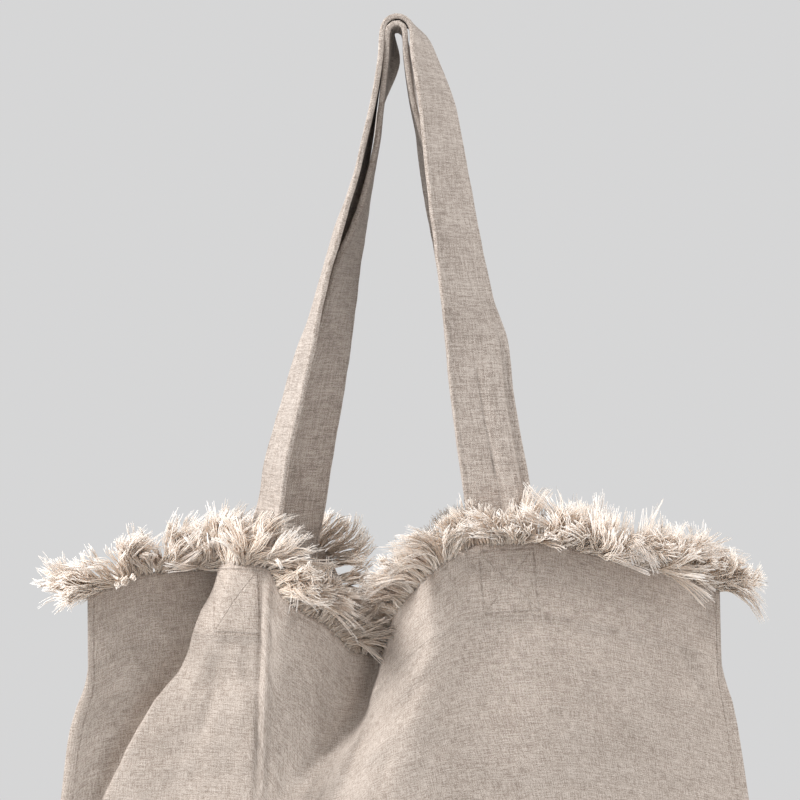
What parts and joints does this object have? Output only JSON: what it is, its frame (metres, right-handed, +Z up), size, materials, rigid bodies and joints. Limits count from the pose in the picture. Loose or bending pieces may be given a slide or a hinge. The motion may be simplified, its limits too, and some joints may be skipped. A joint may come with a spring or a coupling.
{
  "type": "fringed linen tote bag",
  "caption": "Plain natural linen tote bag hanging by its two handles, with a dense cream frayed fringe along the open mouth.",
  "frame": {"origin": "where a hook carries the underside of the inner handle", "axes": "+Z up along the way it hangs, +Y from the front panel to the back panel, +X to the right seen from the front"},
  "size_m": [0.498, 0.1252, 0.7496],
  "materials": {
    "linen": "matte woven",
    "strap_linen": "matte woven",
    "fringe": "matte fibre"
  },
  "bodies": {
    "root": {"front_panel": "linen", "back_panel": "linen", "front_strap": "strap_linen", "back_strap": "strap_linen", "front_fringe": "fringe", "back_fringe": "fringe"}
  },
  "joints": []
}
